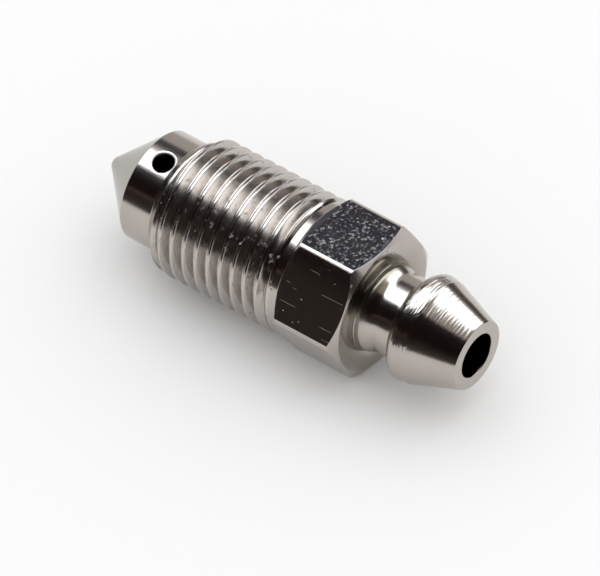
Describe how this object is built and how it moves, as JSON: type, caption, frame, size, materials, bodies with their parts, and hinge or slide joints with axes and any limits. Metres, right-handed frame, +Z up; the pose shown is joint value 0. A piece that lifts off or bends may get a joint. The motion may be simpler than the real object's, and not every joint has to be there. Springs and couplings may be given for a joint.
{
  "type": "bleeder screw",
  "caption": "Plated hydraulic bleeder screw with sealing cone, cross-drilled stem, fine thread, hexagon and hose barb.",
  "frame": {"origin": "middle of the small flat at the point of the sealing cone, on the screw's axis", "axes": "+X along the screw's axis from the sealing cone to the hose end, +Z up through the middle of one side of the hexagon; the screw lies on its side"},
  "size_m": [0.03, 0.011, 0.01],
  "materials": {
    "plated_metal": "bright nickel-like plating over turned metal, fine turning marks"
  },
  "bodies": {
    "root": {"bleeder_screw": "plated_metal"}
  },
  "joints": []
}
